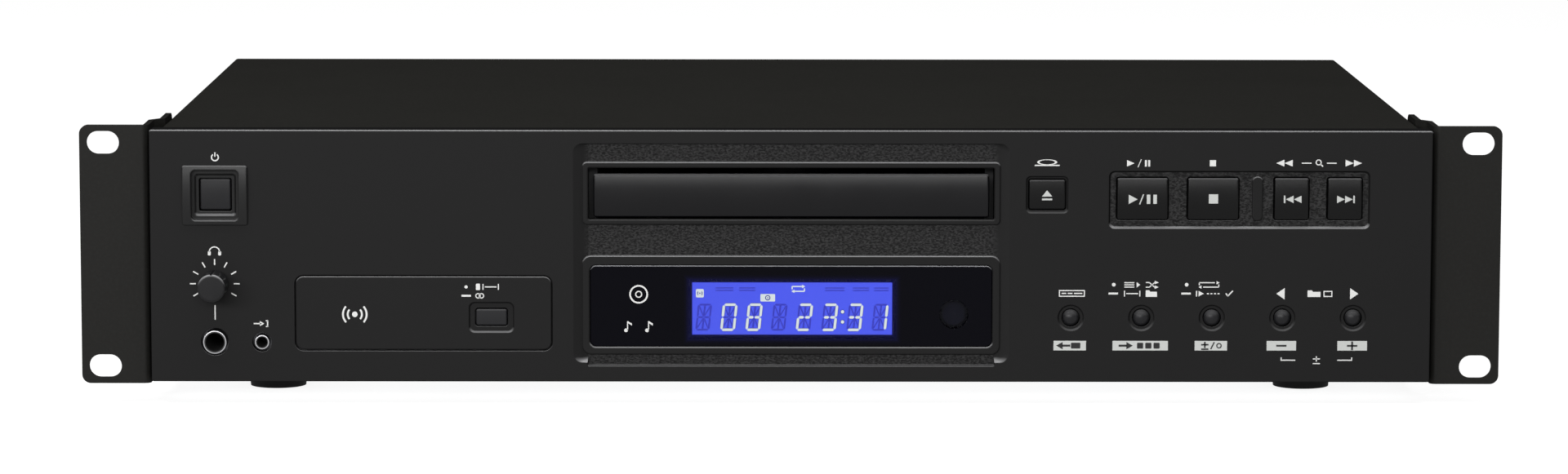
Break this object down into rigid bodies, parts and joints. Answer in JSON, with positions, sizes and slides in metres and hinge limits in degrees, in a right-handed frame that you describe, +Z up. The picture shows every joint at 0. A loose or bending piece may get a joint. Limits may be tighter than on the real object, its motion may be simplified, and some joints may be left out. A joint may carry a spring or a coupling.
{
  "type": "rack-mount cd player",
  "caption": "Two-unit rack-mount disc player: motor tray with door above a display, transport keys, phones level knob and jacks, rack ears, cover, feet and rear sockets.",
  "frame": {"origin": "middle of the bounding box in X and Y, on the plane that the feet stand on", "axes": "+X to the right seen from the front, +Y to the back, +Z up; the front faces -Y"},
  "size_m": [0.481, 0.2986, 0.0945],
  "materials": {
    "panel_black": "fine-grained matt black moulding",
    "case_black": "matt black powder coat",
    "key_black": "satin black moulding",
    "door_black": "satin black moulding",
    "window_dark": "glossy dark tinted",
    "rubber_black": "matt",
    "screw_black": "black oxide",
    "screw_zinc": "zinc plated",
    "steel_zinc": "zinc-coated sheet",
    "jack_chrome": "polished",
    "knob_black": "satin black",
    "shaft_metal": "turned",
    "board_green": "solder-masked laminate",
    "component_black": "moulded component cases",
    "lcd_glass": "blue display glass",
    "receiver_dark": "dark infrared filter",
    "mechanism_grey": "dark grey moulding",
    "tray_black": "matt black moulding",
    "gear_white": "natural acetal",
    "belt_rubber": "matt",
    "motor_steel": "drawn steel can",
    "rod_steel": "ground steel",
    "transformer_core": "varnished laminations",
    "capacitor_sleeve": "shrink sleeve",
    "socket_black": "moulded socket housing",
    "jack_metal": "plated contacts",
    "ribbon_grey": "flat cable insulation",
    "print_white": "screen-printed white ink",
    "display_lit": "lit segments of the display",
    "insulator_red": "moulded ring",
    "insulator_white": "moulded ring",
    "insulator_orange": "moulded ring"
  },
  "bodies": {
    "root": {"front_panel": "panel_black", "wireless_panel": "panel_black", "power_bezel": "panel_black", "top_cover": "case_black", "rack_bracket_left": "case_black", "rack_bracket_right": "case_black", "rear_panel": "case_black", "chassis_base": "steel_zinc", "feet": "rubber_black", "foot_screws": "screw_zinc", "case_screws": "screw_black", "board_screws": "screw_zinc", "display_window": "window_dark", "lcd_glass": "lcd_glass", "lcd_module": "steel_zinc", "ir_receiver": "receiver_dark", "volume_pot": "motor_steel", "phones_jack": "jack_chrome", "aux_jack": "jack_chrome", "control_board": "board_green", "phones_board": "board_green", "tact_switches": "component_black", "power_switch": "component_black", "loader_frame": "mechanism_grey", "clamp_bridge": "steel_zinc", "loading_belt": "belt_rubber", "loading_motor": "motor_steel", "power_supply_board": "board_green", "main_board": "board_green", "transformer": "transformer_core", "filter_capacitors": "capacitor_sleeve", "rca_jacks": "jack_metal", "digital_jacks": "socket_black", "ac_inlet": "socket_black", "ribbon_cables": "ribbon_grey"},
    "tray": {"disc_tray": "tray_black", "tray_door": "door_black"},
    "knob": {"phones_knob": "knob_black", "pot_shaft": "shaft_metal"},
    "deck": {"traverse_plate": "mechanism_grey", "guide_rods": "rod_steel", "deck_motors": "motor_steel"},
    "spindle": {"turntable": "mechanism_grey"},
    "puck": {"clamp_puck": "mechanism_grey"},
    "pickup": {"optical_pickup": "motor_steel"},
    "sled_wheel": {"sled_gear": "gear_white"},
    "loading_wheel": {"drive_gear": "gear_white"},
    "motor_wheel": {"motor_pulley": "gear_white"},
    "power_key": {"power_button": "key_black"},
    "open_close_key": {"open_close_button": "key_black"},
    "play_pause_key": {"play_pause_button": "key_black"},
    "stop_key": {"stop_button": "key_black"},
    "search_back_key": {"search_back_button": "key_black"},
    "search_forward_key": {"search_forward_button": "key_black"},
    "display_key": {"display_button": "key_black"},
    "play_mode_key": {"play_mode_button": "key_black"},
    "repeat_key": {"repeat_button": "key_black"},
    "folder_back_key": {"folder_back_button": "key_black"},
    "folder_next_key": {"folder_next_button": "key_black"},
    "device_key": {"device_button": "key_black"}
  },
  "joints": [
    {"name": "tray_slide", "type": "slide", "parent": "root", "child": "tray", "axis": [0, -1, 0], "range_m": [0, 0.134]},
    {"name": "loading_wheel_spin", "type": "hinge", "parent": "root", "child": "loading_wheel", "pos_m": [-0.047, -0.10225, 0.0605], "axis": [0, 0, 1], "range_deg": [-5, 775]},
    {"name": "motor_wheel_spin", "type": "hinge", "parent": "root", "child": "motor_wheel", "pos_m": [-0.01, -0.10225, 0.056], "axis": [0, 0, 1], "range_deg": [-10, 2410]},
    {"name": "deck_tilt", "type": "hinge", "parent": "root", "child": "deck", "pos_m": [0, 0.02575, 0.06], "axis": [1, 0, 0], "range_deg": [-0.1, 5.1]},
    {"name": "spindle_spin", "type": "hinge", "parent": "deck", "child": "spindle", "pos_m": [0, -0.06625, 0.071], "axis": [0, 0, 1], "continuous": true},
    {"name": "puck_spin", "type": "hinge", "parent": "root", "child": "puck", "pos_m": [0, -0.06625, 0.0815], "axis": [0, 0, 1], "continuous": true},
    {"name": "pickup_slide", "type": "slide", "parent": "deck", "child": "pickup", "axis": [0, 1, 0], "range_m": [0, 0.0325]},
    {"name": "sled_wheel_spin", "type": "hinge", "parent": "deck", "child": "sled_wheel", "pos_m": [0.0283, -0.00725, 0.0567], "axis": [0, 0, 1], "range_deg": [-395, 5]},
    {"name": "knob_turn", "type": "hinge", "parent": "root", "child": "knob", "pos_m": [-0.1948, -0.14225, 0.041], "axis": [0, -1, 0], "range_deg": [-150, 150]},
    {"name": "power_press", "type": "slide", "parent": "root", "child": "power_key", "axis": [0, 1, 0], "range_m": [0, 0.003], "stiffness_N_per_m": 600},
    {"name": "open_close_press", "type": "slide", "parent": "root", "child": "open_close_key", "axis": [0, 1, 0], "range_m": [0, 0.0008], "stiffness_N_per_m": 1500},
    {"name": "play_pause_press", "type": "slide", "parent": "root", "child": "play_pause_key", "axis": [0, 1, 0], "range_m": [0, 0.0008], "stiffness_N_per_m": 1500},
    {"name": "stop_press", "type": "slide", "parent": "root", "child": "stop_key", "axis": [0, 1, 0], "range_m": [0, 0.0008], "stiffness_N_per_m": 1500},
    {"name": "search_back_press", "type": "slide", "parent": "root", "child": "search_back_key", "axis": [0, 1, 0], "range_m": [0, 0.0008], "stiffness_N_per_m": 1500},
    {"name": "search_forward_press", "type": "slide", "parent": "root", "child": "search_forward_key", "axis": [0, 1, 0], "range_m": [0, 0.0008], "stiffness_N_per_m": 1500},
    {"name": "display_press", "type": "slide", "parent": "root", "child": "display_key", "axis": [0, 1, 0], "range_m": [0, 0.0008], "stiffness_N_per_m": 1500},
    {"name": "play_mode_press", "type": "slide", "parent": "root", "child": "play_mode_key", "axis": [0, 1, 0], "range_m": [0, 0.0008], "stiffness_N_per_m": 1500},
    {"name": "repeat_press", "type": "slide", "parent": "root", "child": "repeat_key", "axis": [0, 1, 0], "range_m": [0, 0.0008], "stiffness_N_per_m": 1500},
    {"name": "folder_back_press", "type": "slide", "parent": "root", "child": "folder_back_key", "axis": [0, 1, 0], "range_m": [0, 0.0008], "stiffness_N_per_m": 1500},
    {"name": "folder_next_press", "type": "slide", "parent": "root", "child": "folder_next_key", "axis": [0, 1, 0], "range_m": [0, 0.0008], "stiffness_N_per_m": 1500},
    {"name": "device_press", "type": "slide", "parent": "root", "child": "device_key", "axis": [0, 1, 0], "range_m": [0, 0.0008], "stiffness_N_per_m": 1500}
  ],
  "couplings": [
    {"joint": "loading_wheel_spin", "follows": "tray_slide", "rad_per_m": 100},
    {"joint": "motor_wheel_spin", "follows": "tray_slide", "rad_per_m": 312.2},
    {"joint": "deck_tilt", "follows": "tray_slide", "rad_per_m": 0.65},
    {"joint": "sled_wheel_spin", "follows": "pickup_slide", "rad_per_m": -208.33},
    {"joint": "puck_spin", "follows": "spindle_spin", "ratio": 1}
  ]
}
